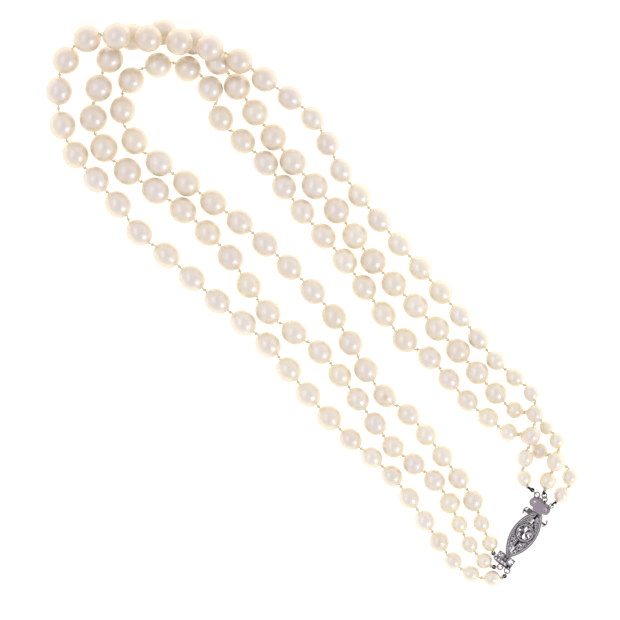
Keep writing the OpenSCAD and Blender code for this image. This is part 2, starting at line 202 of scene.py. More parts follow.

# %% [markdown]
# Finishes. A finish here is a material with one Principled shader. A value that is
# the same all over goes straight on the shader's socket, and only what changes over
# the surface is linked. That keeps a finish easy to read.


# %% A material with one Principled shader
class Finish(NodeTree):
    """Constants go on the shader's own sockets, and fields are linked to them."""

    def __init__(self, name, **constants):
        self.material = bpy.data.materials.new(name)
        self.material.use_nodes = True
        super().__init__(self.material.node_tree)
        self.shader = self.tree.nodes["Principled BSDF"]
        for socket, value in constants.items():
            self.set(socket.replace("_", " "), value)

    def set(self, socket, value):
        self.connect(self.shader.inputs[socket], value)

    def bump(self, height, distance):
        """Relief from a field, distance metres high where the field is 1."""
        inputs = {"Distance": distance, "Height": height}
        self.set("Normal", self.node("ShaderNodeBump", inputs=inputs))


print("a finish can also:", [n for n in vars(Finish) if n[0] != "_"])

# %% [markdown]
# Camera. The photo looks straight down on the necklace with its long side running
# from the upper left to the lower right. A long lens from far away gives the same
# flat view, and still lets the necklace be seen in perspective from other sides.

# %% Camera above the table
PHOTO_PIXELS = 620
MM_PER_PIXEL = 0.3
CAMERA_HEIGHT = 2.4
FARTHEST_SEEN = 20
view_middle = Vector((9.7, 5.15, 0)) * MM
photo_right = Vector((-1, 1, 0)).normalized()
photo_up = Vector((-1, -1, 0)).normalized()
photo_width = PHOTO_PIXELS * MM_PER_PIXEL * MM


def put_in_scene(name, data):
    """The object of a camera, a lamp or a mesh, linked into the scene."""
    made = bpy.data.objects.new(name, data)
    bpy.context.scene.collection.objects.link(made)
    return made


camera_data = bpy.data.cameras.new("camera")
camera_data.lens = camera_data.sensor_width * CAMERA_HEIGHT / photo_width
camera_data.clip_end = FARTHEST_SEEN
camera = put_in_scene("camera", camera_data)
camera.location = view_middle + Vector((0, 0, CAMERA_HEIGHT))
camera.rotation_euler = (0, 0, math.atan2(photo_right.y, photo_right.x))
bpy.context.scene.camera = camera
bpy.context.scene.view_settings.view_transform = "Standard"
print("lens", round(camera_data.lens), "mm, field", round(photo_width / MM), "mm")

# %% [markdown]
# Lamps. The reflections on the photo's pearls tell where its lamps stood. One small
# lamp low on the right leaves a crisp spot on every pearl, a soft window leaves a faint
# stripe left of the middle, and a wide panel at the upper right casts the faint shadow.
# The lamps are far away next to the necklace's size, so that their reflections sit at
# the same place on every pearl.

# %% Three lamps
LAMP_DISTANCE = 4.0


def lamp(name, sideways, upwards, tilt, width, length, radiance, colour):
    """A soft box in a direction of the photo, tilt degrees off straight above."""
    data = bpy.data.lights.new(name, "AREA")
    data.shape = "RECTANGLE"
    data.size = width
    data.size_y = length
    data.energy = radiance * math.pi * width * length
    data.color = colour
    made = put_in_scene(name, data)
    aside = (photo_right * sideways + photo_up * upwards).normalized()
    slope = math.radians(tilt)
    place = view_middle + LAMP_DISTANCE * (
        aside * math.sin(slope) + Vector((0, 0, 1)) * math.cos(slope)
    )
    made.location = place
    made.rotation_euler = (view_middle - place).to_track_quat("-Z", "Y").to_euler()
    made.visible_camera = False
    return made


lamp(
    "spot_box",
    sideways=0.77,
    upwards=-0.64,
    tilt=51,
    width=0.56,
    length=0.56,
    radiance=17.0,
    colour=(0.78, 0.95, 1.22),
)
lamp(
    "window",
    sideways=-0.98,
    upwards=0.20,
    tilt=30,
    width=4.00,
    length=1.30,
    radiance=0.9,
    colour=(0.70, 0.87, 1.10),
)
panel = lamp(
    "panel",
    sideways=0.70,
    upwards=0.72,
    tilt=50,
    width=2.00,
    length=2.00,
    radiance=3.0,
    colour=(1.0, 0.99, 0.98),
)
panel.visible_glossy = False

# %% [markdown]
# Room and table. The white table glows round the necklace, so shadows are faint and
# the pearls' edges are lit from below. The room above it is pale at the walls and a
# little darker at the ceiling. A pearl mirrors the ceiling in its middle and the walls
# and the table towards its edge, which makes it look round.

# %% The room's light and the glowing table
WALL = (1.02, 0.99, 0.91)
CEILING = (0.685, 0.65, 0.68)
CEILING_FROM = 0.95
FLOOR_SIDE = 8.0
FLOOR_HEIGHT = -0.02 * MM

room = bpy.data.worlds.new("room")
bpy.context.scene.world = room
room.use_nodes = True
sky = NodeTree(room.node_tree)
way = sky.node("ShaderNodeTexCoord", output="Generated")
upward = sky.node("ShaderNodeSeparateXYZ", inputs={"Vector": way}, output="Z")
wall_to_ceiling = {"stops": [(0.0, WALL), (CEILING_FROM, CEILING)]}
glow = sky.node("ShaderNodeValToRGB", wall_to_ceiling, {"Fac": upward})
sky.connect(room.node_tree.nodes["Background"].inputs["Color"], glow)

half = FLOOR_SIDE / 2
floor_corners = [(-half, -half), (half, -half), (half, half), (-half, half)]
floor_mesh = bpy.data.meshes.new("floor")
floor_mesh.from_pydata([(x, y, FLOOR_HEIGHT) for x, y in floor_corners], [], [(0, 1, 2, 3)])
floor = put_in_scene("floor", floor_mesh)
paper = Finish("paper", Roughness=0.9, Emission_Color=(1.0, 0.985, 0.95), Emission_Strength=0.81)
paper_cloud = paper.noise(3.0, detail=3.0)
paper.set("Base Color", paper_cloud.tint((0.44, 0.44, 0.44), (0.48, 0.48, 0.48)))
paper.bump(paper.noise(2500.0), 0.02 * MM)
floor.data.materials.append(paper.material)
print("floor:", FLOOR_SIDE, "m wide,", round(FLOOR_HEIGHT / MM, 2), "mm high")

# %% [markdown]
# Reading the solids. Each CAD node of pearls holds a whole strand of loose solids.
# The dressed pearls have to lie exactly where those are, so their places are read
# back from the solids instead of being typed again: a walk over joined faces finds
# each solid, and the strand's order follows from the nearest neighbour.

# %% Find each solid of a node
SAME_POINT = 1e-7


def solids_of(node):
    """The points of each separate solid of a CAD node, in metres."""
    net = bmesh.new()
    net.from_mesh(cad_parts[node].data)
    bmesh.ops.remove_doubles(net, verts=net.verts, dist=SAME_POINT)
    net.verts.index_update()
    seen = [False] * len(net.verts)
    found = []
    for start in net.verts:
        if seen[start.index]:
            continue
        seen[start.index] = True
        group, edge = [start], [start]
        while edge:
            fresh = []
            for point in edge:
                for link in point.link_edges:
                    other = link.other_vert(point)
                    if not seen[other.index]:
                        seen[other.index] = True
                        fresh.append(other)
            group += fresh
            edge = fresh
        found.append(np.array([point.co for point in group]))
    net.free()
    return found


def unit(direction):
    return direction / np.linalg.norm(direction)


def middle_of(points):
    return (points.min(0) + points.max(0)) / 2


def node_middle(node):
    low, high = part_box(node)
    return np.array((low + high) / 2)


print("solids in the middle stone's node:", len(solids_of("centre_stone")))

# %% [markdown]
# The order of the pearls. The drill hole of a pearl points halfway between its two
# neighbours, so each needs to know its place on the string. The CAD solids reach
# right to the knots. The pearls of the photo are rounder, with more silk between
# them, so of the extra length only a part is kept.

# %% Put the pearls of each strand in order
LONGER = 0.6
# The clasp's side that each end hangs on, the pearl there, and the way out of it.
ENDS = (("fixed", 0, -1), ("tongue", -1, 1))


class Bead:
    """A pearl on its string, with its sizes in metres."""

    def __init__(self, middle, drill, half_length, half_width):
        self.middle = middle
        self.drill = drill
        self.half_length = half_length
        self.half_width = half_width

    def mouth(self, side):
        """Where the drill hole opens: side 1 is ahead on the string, -1 behind."""
        return self.middle + side * self.drill * self.half_length


def along_string(strand):
    """The pearls of a strand in their order."""
    groups = solids_of("pearls_" + strand)
    middles = [middle_of(g) for g in groups]
    first = node_middle("gimp_fixed_" + strand)
    last = node_middle("gimp_tongue_" + strand)
    order, here = [], first
    left = set(range(len(groups)))
    while left:
        nearest = min(left, key=lambda k: np.linalg.norm(middles[k] - here))
        order.append(nearest)
        left.remove(nearest)
        here = middles[nearest]
    stops = [first, *(middles[k] for k in order), last]
    beads = []
    for i, k in enumerate(order, start=1):
        drill = unit(unit(stops[i + 1] - stops[i]) + unit(stops[i] - stops[i - 1]))
        reach = (groups[k] - stops[i]) @ drill
        across = np.linalg.norm(groups[k] - stops[i] - np.outer(reach, drill), axis=1)
        half_width = across.max()
        half_length = half_width + LONGER * (reach.max() - half_width)
        beads.append(Bead(stops[i], drill, half_length, half_width))
    return beads


strings = {strand: along_string(strand) for strand in strands}
for strand, beads in strings.items():
    widths = [2 * bead.half_width / MM for bead in beads]
    print(strand, len(beads), "pearls,", round(min(widths), 1), "to", round(max(widths), 1), "mm")

# %% [markdown]
# Making meshes. Most small pieces repeat many times, so they are worked out as plain
# lists of points and faces and joined into one mesh a strand. A shape gathers them,
# with numbers kept on its points or faces for the finish to use, and becomes an
# object that rides on the necklace.


# %% Points and faces gathered into one object
class Shape:
    """Points and faces that become one mesh object, with numbers kept on them."""

    def __init__(self):
        self.points = []
        self.faces = []
        self.marks = {}
        self.facets = []
        self.count = 0

    def add(self, points, faces, facets=(), **marks):
        """Adds a form. Facets give the mirror and the painted glint of each of its faces."""
        self.faces += [tuple(i + self.count for i in face) for face in faces]
        self.facets += facets
        self.points.append(np.asarray(points, float))
        for name, values in marks.items():
            spread = np.broadcast_to(np.asarray(values, float), (len(points),))
            self.marks.setdefault(name, []).append(spread)
        self.count += len(points)

    def piece(self, name, finish, replaced=(), smooth=True):
        """Turns what was added into an object that stands for the replaced nodes."""
        mesh = bpy.data.meshes.new(name)
        mesh.from_pydata(np.vstack(self.points).tolist(), [], self.faces)
        for mark, values in self.marks.items():
            layer = mesh.attributes.new(mark, "FLOAT", "POINT")
            layer.data.foreach_set("value", np.concatenate(values).astype(np.float32))
        if self.facets:
            for k, mark in enumerate(("mirror", "glint")):
                layer = mesh.attributes.new(mark, "FLOAT", "FACE")
                layer.data.foreach_set("value", [facet[k] for facet in self.facets])
        mesh.polygons.foreach_set("use_smooth", [smooth] * len(mesh.polygons))
        mesh.materials.append(finish.material)
        made = put_in_scene(name, mesh)
        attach(made, BODY)
        if replaced:
            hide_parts(*replaced)
        print(name, len(mesh.vertices), "points,", len(mesh.polygons), "faces")


print("a shape can:", [n for n in vars(Shape) if n[0] != "_"])

# %% [markdown]
# Two forms do most of the work. One is a grid of points whose rows close into rings,
# such as a profile turned round an axis. The other is a round wire swept along a path:
# its ring of points is carried along without twisting, because each ring's side starts
# from the side of the ring before it.


# %% Rings of points and a round wire
def round_turns(count):
    """Equal steps round a circle, in radians."""
    return np.arange(count) * 2 * math.pi / count


def grid_faces(rows, columns, close_rows=False):
    """Four-sided faces over rows of points, each row closed into a ring."""
    last = rows if close_rows else rows - 1
    return [
        (
            r * columns + c,
            r * columns + (c + 1) % columns,
            (r + 1) % rows * columns + (c + 1) % columns,
            (r + 1) % rows * columns + c,
        )
        for r in range(last)
        for c in range(columns)
    ]


def cross_axes(axis):
    """Two directions square to an axis and to each other."""
    nearly_upright = abs(axis[2]) >= 0.9
    other = np.array((1.0, 0.0, 0.0) if nearly_upright else (0.0, 0.0, 1.0))
    first = unit(np.cross(axis, other))
    return first, np.cross(axis, first)


def wire(path, radius, sides=6, closed=False):
    """A round wire along a path of points: its points and faces. It may taper."""
    path = np.asarray(path, float)
    count = len(path)
    radii = np.broadcast_to(np.asarray(radius, float), (count,))
    ahead = np.roll(path, -1, 0) - np.roll(path, 1, 0)
    if not closed:
        ahead[0] = path[1] - path[0]
        ahead[-1] = path[-1] - path[-2]
    ahead /= np.linalg.norm(ahead, axis=1)[:, None]
    turn = round_turns(sides)
    side = cross_axes(ahead[0])[0]
    rings = []
    for k in range(count):
        side = unit(side - ahead[k] * (side @ ahead[k]))
        up = np.cross(ahead[k], side)
        rings.append(
            path[k] + radii[k] * (np.outer(np.cos(turn), side) + np.outer(np.sin(turn), up))
        )
    faces = grid_faces(count, sides, closed)
    if not closed:
        last_ring = (count - 1) * sides
        faces += [tuple(range(sides))[::-1], tuple(last_ring + k for k in range(sides))]
    return np.vstack(rings), faces


print("faces of a wire of 3 points and 6 sides:", len(wire([(0, 0, k) for k in range(3)], 1)[1]))

# %% [markdown]
# Pearls. A cultured pearl is nearly round, a little longer along its drill hole, and
# never quite regular. A sphere primitive would have neither the hole nor the oval, so
# each pearl is turned: an oval profile that runs over the rounded lip of the drill
# hole and back through the hole, so the mesh is closed. Slight swells keep the pearls
# from being copies of each other. Each point also keeps how far along the hole it
# is, and a tone for the finish to use. Part of the tone is the pearl's own, at random;
# the rest is painted light, lighter towards the clasp, and painted shade, darker on
# pearls that lie on others.

# %% Turn a pearl
SIDES = 48
RINGS = 22
HOLE = 0.42 * MM
LIP = 0.05 * MM
FLATTEST = 0.012
TAPER = 0.008
TONE = 0.65
# Painted light: pearls towards the clasp lighter. Painted shade: pearls that lie on others darker.
PAINTED_LIGHT_TO_CLASP = 2.6
PAINTED_SHADE_UPWARDS = 55
TONE_SPREAD = 0.2
draw = np.random.default_rng(7)


def pearl_profile(half_length, half_width):
    """Distance along the hole and from it, round the outside and back through it."""
    edge = math.asin(min(1.0, (HOLE + LIP) / half_width))
    turns = np.linspace(edge, math.pi - edge, RINGS)
    outside = np.stack([-half_length * np.cos(turns), half_width * np.sin(turns)], 1)
    end = abs(outside[0, 0])
    corner, corner_out = end - 0.4 * LIP, HOLE + 0.3 * LIP
    hole = [
        (corner, corner_out),
        (end - LIP, HOLE),
        (-end + LIP, HOLE),
        (-corner, corner_out),
    ]
    return np.vstack([outside, hole])


def pearl(shape, bead):
    """Adds one pearl, a little flattened across its hole and tapered along it."""
    profile = pearl_profile(bead.half_length, bead.half_width)
    turn = round_turns(SIDES)
    flatter = draw.uniform(0, FLATTEST)
    flat_side = draw.uniform(0, 2 * math.pi)
    taper = draw.normal(0, TAPER)
    along, out = profile[:, :1], profile[:, 1:]
    outside = np.where(out > 1.5 * HOLE, 1.0, 0.0)
    shrink = flatter * (0.5 + 0.5 * np.cos(2 * turn + flat_side))
    radius = out * (1 - outside * (shrink + abs(taper) + taper * along / bead.half_length))
    first, second = cross_axes(bead.drill)
    points = (
        bead.middle
        + along[..., None] * bead.drill
        + (radius * np.cos(turn))[..., None] * first
        + (radius * np.sin(turn))[..., None] * second
    )
    # Painted light towards the clasp and painted shade on raised pearls, with a random spread of
    # the pearl's own.
    usual_tone_and_painted_shade = TONE + PAINTED_LIGHT_TO_CLASP * bead.middle[1] - PAINTED_SHADE_UPWARDS * bead.middle[2]
    shape.add(
        points.reshape(-1, 3),
        grid_faces(len(profile), SIDES, close_rows=True),
        along_hole=np.repeat(along[:, 0] / bead.half_length, SIDES),
        tone=min(1.0, max(0.0, draw.normal(usual_tone_and_painted_shade, TONE_SPREAD))),
        warmth=draw.uniform(0, 1),
    )


print("points of a pearl:", SIDES * len(pearl_profile(4 * MM, 3.5 * MM)))

# %% [markdown]
# Nacre. A pearl's body is a pale pinkish grey seen through thin translucent layers.
# Light that skims its edge crosses more of them and comes out cream. The coat of the
# Principled shader does just that: its tint gets stronger at shallow angles. Some
# light also goes under the surface, and a soft metal-like sheen mirrors the room.
# Where two pearls nearly touch, light that went through real pearls comes out again
# and keeps the gap golden. Here ambient occlusion finds those gaps, and a painted
# glow, an emission that is no lamp, fills them. No colour is painted by where the
# camera stands.

# %% Nacre finish
nacre = Finish(
    "nacre",
    Metallic=0.6,
    IOR=1.35,
    Subsurface_Weight=0.5,
    Subsurface_Radius=(1.0, 0.9, 0.6),
    Subsurface_Scale=1.2 * MM,
    Specular_Tint=(1.0, 0.9, 0.6),
    Coat_Weight=1.0,
    Coat_Roughness=0.10,
    Coat_IOR=1.15,
    Coat_Tint=(0.985, 0.95, 0.875),
    Sheen_Weight=0.4,
    Sheen_Roughness=0.5,
    Sheen_Tint=(1.0, 0.86, 0.52),
    Emission_Strength=0.45,
)
# The tone is partly the pearl's own and partly painted light and shade by where the pearl lies.
tone = nacre.mark("tone")
warmth = nacre.mark("warmth")
cloud = nacre.noise(220.0, detail=3.0)
cool_body = tone.tint((0.84, 0.80, 0.84), (0.94, 0.93, 0.94))
warm_body = cool_body * (1.0, 0.97, 0.86)
body_colour = (warmth * 0.6 + cloud * 0.3).tint(cool_body, warm_body)
print("nacre so far:", len(nacre.tree.nodes), "nodes")

# %% [markdown]
# Growth marks. One pearl has an orange blemish, so its place is given in millimetres
# and the stain fades away from it. Nacre also grows in faint bands square to the
# drill hole, which show as a slight relief over a finer grain.

# %% Blemish, painted glow in the gaps, and growth bands
BLEMISH = (12.39, 39.60, 6.0)
STAIN = (0.93, 0.57, 0.26)
STAIN_EDGE = (0.1, 1.3)
GAP_REACH = 3.0 * MM
PAINTED_GAP_GLOW = (0.80, 0.66, 0.42)
BLACK = (0.0, 0.0, 0.0)

from_blemish = nacre.node(
    "ShaderNodeVectorMath",
    {"operation": "LENGTH"},
    {"Vector": (nacre.place() / MM - BLEMISH) * (1.0, 1.0, 0.1)},
    "Value",
)
stain = (1 - from_blemish.ramp(*STAIN_EDGE)) * (0.5 + 0.3 * cloud)
nacre.set("Base Color", stain.tint(body_colour, STAIN))
nacre.set("Roughness", 0.33 + 0.10 * cloud)
# Painted glow: an emission fills the gaps between pearls that ambient occlusion finds.
painted_glow_between_pearls = 1 - nacre.closeness(GAP_REACH, alone=True)
nacre.set("Emission Color", painted_glow_between_pearls.tint(BLACK, PAINTED_GAP_GLOW))
bands = nacre.node(
    "ShaderNodeTexNoise",
    {"noise_dimensions": "1D"},
    {"W": nacre.mark("along_hole") * 3.0 + tone * 40.0, "Scale": 2.0, "Detail": 3.0},
)
nacre.bump(bands * 0.6 + nacre.noise(900.0) * 0.4, 0.03 * MM)
print("nacre finish:", len(nacre.tree.nodes), "nodes")

# %% The pearls of the three strands
for strand in strands:
    shape = Shape()
    for bead in strings[strand]:
        pearl(shape, bead)
    shape.piece("nacre_pearls_" + strand, nacre, ["pearls_" + strand])

# %% [markdown]
# Knotted silk. The pearls hang on silk bead cord with an overhand knot in every gap,
# so they don't rub, and none is lost if the silk breaks. The silk shows only in the
# gaps. It is made there as two plies laid round each other, with the knot as a small
# three-lobed loop, which is the shape an overhand knot takes when it is pulled tight.

# %% Lay the silk and tie the knots
PLY = 0.15 * MM
LAY = 0.10 * MM
LAY_TURNS = 2.5
INTO_HOLE = 0.7 * MM
OUT_OF_HOLE = 0.05 * MM
KNOT_SIZE = 0.14 * MM
KNOT_WIRE = 0.17 * MM
KNOT_STEPS = 30


def curve_through(points, steps):
    """A smooth line through a few points, with some steps from each to the next."""
    points = [np.asarray(p, float) for p in points]
    line = []
    for k in range(len(points) - 1):
        before = points[max(k - 1, 0)]
        after = points[min(k + 2, len(points) - 1)]
        a, b = points[k], points[k + 1]
        slope_a, slope_b = (b - before) / 2, (after - a) / 2
        for u in np.linspace(0, 1, steps, endpoint=k == len(points) - 2):
            line.append(
                (2 * u**3 - 3 * u**2 + 1) * a
                + (u**3 - 2 * u**2 + u) * slope_a
                + (3 * u**2 - 2 * u**3) * b
                + (u**3 - u**2) * slope_b
            )
    return np.array(line)


def knot(shape, middle, way, size):
    """A closed loop with three lobes round the direction of the silk."""
    t = round_turns(KNOT_STEPS)
    first, second = cross_axes(way)
    loop = (
        middle
        + size * np.outer(np.sin(t) + 2 * np.sin(2 * t), first)
        + size * np.outer(np.cos(t) - 2 * np.cos(2 * t), second)
        - size * np.outer(np.sin(3 * t), way)
    )
    shape.add(*wire(loop, min(KNOT_WIRE, 1.4 * size), 6, closed=True))


def silk_between(shape, bead, after):
    """Two plies from a pearl's hole to the next pearl's, and the knot halfway."""
    start, end = bead.mouth(1), after.mouth(-1)
    stops = [
        start - bead.drill * INTO_HOLE,
        start + bead.drill * OUT_OF_HOLE,
        (start + end) / 2,
        end - after.drill * OUT_OF_HOLE,
        end + after.drill * INTO_HOLE,
    ]
    line = curve_through(stops, 5)
    first, second = cross_axes(unit(line[-1] - line[0]))
    twist = np.linspace(0, 2 * math.pi * LAY_TURNS, len(line))[:, None]
    for ply in (0, math.pi):
        offset = LAY * (np.cos(twist + ply) * first + np.sin(twist + ply) * second)
        shape.add(*wire(line + offset, PLY, 5))
    size = min(KNOT_SIZE, np.linalg.norm(end - start) / 6)
    knot(shape, (start + end) / 2, unit(end - start), size)


print("widest knot:", round(2 * (3 * KNOT_SIZE + KNOT_WIRE) / MM, 1), "mm")

# %% [markdown]
# Silk finish. Bead silk is a soft thread with a dull shine, cream and uneven in tone.
# Cloth scatters light back at its edges, so the shader gets some sheen, and fine waves
# stand for its fibres. In the deep gap between two pearls a solid thread would turn
# black, while the real silk lets light through, so a painted glow, an emission that
# is no lamp, fills it where ambient occlusion finds it shaded.

# %% Silk finish
SILK_REACH = 3.0 * MM
PAINTED_GLOW_DARK, PAINTED_GLOW_LIGHT = 0.2441, 0.4654

silk = Finish("silk", Roughness=0.75, Sheen_Weight=0.6, Sheen_Roughness=0.4, Emission_Strength=0.5)
silk_cloud = silk.noise(1500.0, detail=3.0)
silk.set("Base Color", silk_cloud.tint((0.56, 0.46, 0.27), (0.86, 0.75, 0.50)))
# Painted glow: an emission where ambient occlusion finds the silk shaded.
painted_glow_tone = PAINTED_GLOW_DARK + (PAINTED_GLOW_LIGHT - PAINTED_GLOW_DARK) * silk_cloud
silk.set("Emission Color", (1 - silk.closeness(SILK_REACH)) * painted_glow_tone)
fibres = silk.node("ShaderNodeTexWave", inputs={"Vector": silk.place(), "Scale": 3000.0})
silk.bump(fibres, 0.02 * MM)
print("silk finish:", len(silk.tree.nodes), "nodes")

# %% The silk of the three strands
END_SILK = 0.17 * MM
KNOT_FROM_HOLE = 2.5 * KNOT_SIZE

for strand in strands:
    beads = strings[strand]
    shape = Shape()
    for bead, after in zip(beads, beads[1:]):
        silk_between(shape, bead, after)
    for where, which, out in ENDS:
        bead = beads[which]
        hole = bead.mouth(out)
        gimp = node_middle(f"gimp_{where}_{strand}")
        shape.add(*wire([hole - out * bead.drill * INTO_HOLE, hole, gimp], END_SILK, 6))
        way = unit(gimp - hole)
        knot(shape, hole + way * KNOT_FROM_HOLE, way, KNOT_SIZE)
    shape.piece("silk_" + strand, silk, ["thread_" + strand])

# %% [markdown]
# Gimp. The silk's ends are covered with gimp, a fine wire coil slid onto the thread,
# so that the metal ring doesn't saw through the silk. It is a wire wound round the
# loop, so it is made as one: a helix that follows the ring of the CAD solid, over a
# plain core that closes it, and a short straight sleeve towards the last pearl.

# %% Wind a fine wire round a path
COIL_WIRE = 0.07 * MM
COIL_STEPS = 8


def wound(path, radius, turns, closed):
    """A fine wire wound round a path."""
    path = np.asarray(path, float)
    count = len(path)
    steps = turns * COIL_STEPS
    at = np.arange(steps) * (count if closed else count - 1) / steps
    low = at.astype(int)
    mix = (at - low)[:, None]
    core = path[low] * (1 - mix) + path[(low + 1) % count] * mix
    ahead = np.roll(core, -1, 0) - np.roll(core, 1, 0)
    if not closed:
        ahead[0], ahead[-1] = ahead[1], ahead[-2]
    side = cross_axes(unit(ahead[0]))[0]
    coil = []
    for k in range(steps):
        way = unit(ahead[k])
        side = unit(side - way * (side @ way))
        up = np.cross(way, side)
        turn = 2 * math.pi * k / COIL_STEPS
        coil.append(core[k] + radius * (math.cos(turn) * side + math.sin(turn) * up))
    return wire(coil, COIL_WIRE, 5, closed)


def ring_pose(node):
    """Middle, axis, radius to the wire's middle and wire radius of a ring solid."""
    points = np.array([v.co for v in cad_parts[node].data.vertices])
    middle = middle_of(points)
    spread = points - middle
    axis = np.linalg.svd(spread.T @ spread)[0][:, 2]
    far = np.linalg.norm(spread - np.outer(spread @ axis, axis), axis=1)
    return middle, axis, (far.max() + far.min()) / 2, (far.max() - far.min()) / 2


print("a ring's radius in mm:", round(ring_pose("gimp_fixed_outer")[2] / MM, 2))

# %% [markdown]
# Tarnish. The fine wire of old gimp is nearly black, with a brown cast where the
# tarnish is thin. It mirrors very little, so the shader is mostly rough paint with a
# trace of metal, and a cloud of noise carries the two browns.

# %% Tarnished finish and the six gimps
LOOP_STEPS = 48
LOOP_TURNS = 24
TUCKED = 0.06 * MM
SLEEVE = 0.33 * MM
SLEEVE_STEPS = 12
SLEEVE_TURNS = 6
SLEEVE_REACH = 0.55

tarnish = Finish("tarnished_gimp", Metallic=0.2, Specular_IOR_Level=0.15)
tarnish_cloud = tarnish.noise(1800.0, detail=3.0)
tarnish.set("Base Color", tarnish_cloud.tint((0.006, 0.004, 0.003), (0.06, 0.036, 0.026)))
tarnish.set("Roughness", 0.45 + 0.3 * tarnish_cloud)
tarnish.bump(tarnish.noise(6000.0), 0.02 * MM)

for strand in strands:
    for where, which, out in ENDS:
        node = f"gimp_{where}_{strand}"
        middle, axis, radius, thick = ring_pose(node)
        core = thick + TUCKED - COIL_WIRE
        hole = strings[strand][which].mouth(out)
        shape = Shape()
        first, second = cross_axes(axis)
        t = round_turns(LOOP_STEPS)[:, None]
        loop = middle + (radius - TUCKED) * (np.cos(t) * first + np.sin(t) * second)
        shape.add(*wound(loop, core, LOOP_TURNS, closed=True))
        shape.add(*wire(loop, core, 8, closed=True))
        sleeve_start = middle + unit(hole - middle) * (radius + thick)
        sleeve_end = sleeve_start * (1 - SLEEVE_REACH) + hole * SLEEVE_REACH
        sleeve = np.linspace(sleeve_start, sleeve_end, SLEEVE_STEPS)
        shape.add(*wound(sleeve, SLEEVE, SLEEVE_TURNS, closed=False))
        shape.add(*wire(sleeve, SLEEVE, 8))
        shape.piece(f"wound_{node}", tarnish, [node])

# %% [markdown]
# Brilliants. A round brilliant is nothing but flat facets: a table, stars, kites and
# halves above the girdle, and mains and halves below. Light goes in through the crown
# and is thrown back by the facets below, each of which shows a bright or a dark part
# of the room. So the crown is clear, and the facets below are little mirrors with a
# painted brightness of their own, a painted reflection of a bright or a dark part of
# the room. One stone of radius 1 is worked out, with the top of its girdle at height 0.

# %% Cut a stone
TABLE = 0.5
CROWN = 0.32
DEPTH = 0.84
GIRDLE = 0.05
KITE_OUT = 0.80
LOWER_IN = 0.46


def brilliant():
    """Points and faces of a stone of radius 1, and how many faces are above."""
    turn = round_turns(8)
    half = turn + math.pi / 8

    def ring(radius, turns, height):
        return np.stack([radius * np.cos(turns), radius * np.sin(turns), np.full(8, height)], 1)

    flat = math.cos(math.pi / 8)
    points = np.vstack(
        [
            ring(TABLE, turn, CROWN),
            ring(KITE_OUT, half, CROWN * (1 - KITE_OUT * flat) / (1 - TABLE)),
            ring(1, turn, 0),
            ring(1, half, 0),
            ring(1, turn, -GIRDLE),
            ring(1, half, -GIRDLE),
            ring(LOWER_IN, half, -GIRDLE - DEPTH * (1 - LOWER_IN * flat)),
            [(0, 0, -GIRDLE - DEPTH)],
        ]
    )
    table, kite, girdle, mid, girdle_low, mid_low, lower, tip = (8 * n for n in range(8))
    above, below = [tuple(table + n for n in range(8))], []
    for n in range(8):
        before, after = (n - 1) % 8, (n + 1) % 8
        above += [
            (table + n, kite + n, table + after),
            (table + n, kite + before, girdle + n, kite + n),
            (girdle + n, mid + n, kite + n),
            (mid + n, girdle + after, kite + n),
            (girdle_low + n, mid_low + n, mid + n, girdle + n),
            (mid_low + n, girdle_low + after, girdle + after, mid + n),
        ]
        below += [
            (girdle_low + n, lower + n, mid_low + n),
            (mid_low + n, lower + n, girdle_low + after),
            (girdle_low + n, lower + before, tip, lower + n),
        ]
    return points, above + below, len(above)


print("faces of a stone:", len(brilliant()[1]), "of which above:", brilliant()[2])

# %% [markdown]
# Setting the stones. Each stone is laid over its CAD solid, which gives its size and
# its way up: the solid's upper end is wide where the stone faces up, and a point where
# it lies face down. No two stones are set quite alike, so each is turned and leaned a
# little, and its lower facets draw their own painted glints, bright or dark. A stone
# that lies face down is lit through from the table, so it has no mirrors.

# %% Set the stones over their solids
# Painted glints: each lower facet is painted bright or dark from these.
PAINTED_GLINTS = (0.0, 0.0, 0.3, 0.7, 1.0, 1.0)
LEAN = 0.02
SAME_HEIGHT = 1e-6


def round_size(solid):
    """The middle of an upright round solid, and its radius seen from above."""
    middle = middle_of(solid)
    return middle, np.linalg.norm(solid[:, :2] - middle[:2], axis=1).max()


def set_stones(shape, node, share):
    """A brilliant over each solid of a node, of a share of the solid's size."""
    points, faces, crown_faces = brilliant()
    for solid in solids_of(node):
        middle, radius = round_size(solid)
        top = solid[np.abs(solid[:, 2] - solid[:, 2].max()) < SAME_HEIGHT]
        spread = np.linalg.norm(top[:, :2] - middle[:2], axis=1).max()
        up = 1 if spread > 0.3 * radius else -1
        table_z = solid[:, 2].max() if up > 0 else solid[:, 2].min()
        girdle_z = table_z - up * CROWN * radius
        spin = draw.uniform(0, math.pi / 4)
        lean = draw.normal(0, LEAN, 2)
        cos, sin = math.cos(spin), math.sin(spin)
        turned = points @ np.array([(cos, sin, 0), (-sin, cos, 0), (0, 0, 1)])
        turned[:, 2] += turned[:, :2] @ lean
        turned = turned * (1, up, up)
        glints = draw.choice(PAINTED_GLINTS, len(faces) - crown_faces)
        mirror = 1.0 if up > 0 else 0.0
        facets = [(0.0, 1.0)] * crown_faces + [(mirror, float(g)) for g in glints]
        shape.add(turned * radius * share + (*middle[:2], girdle_z), faces, facets)


print("middle stone's width in mm:", round(2 * round_size(solids_of("centre_stone")[0])[1] / MM, 1))

# %% [markdown]
# Clear finish. A cut stone is clear, so its crown lets light through. The marks on its
# lower facets turn those into mirrors, dark or bright by their painted glint, and the
# brightest also get a painted glow, an emission that stands for the light that the
# crown gathers and they throw back.

# %% Clear finish and all the stones
SHARE = 0.985
CENTRE_SHARE = 0.95

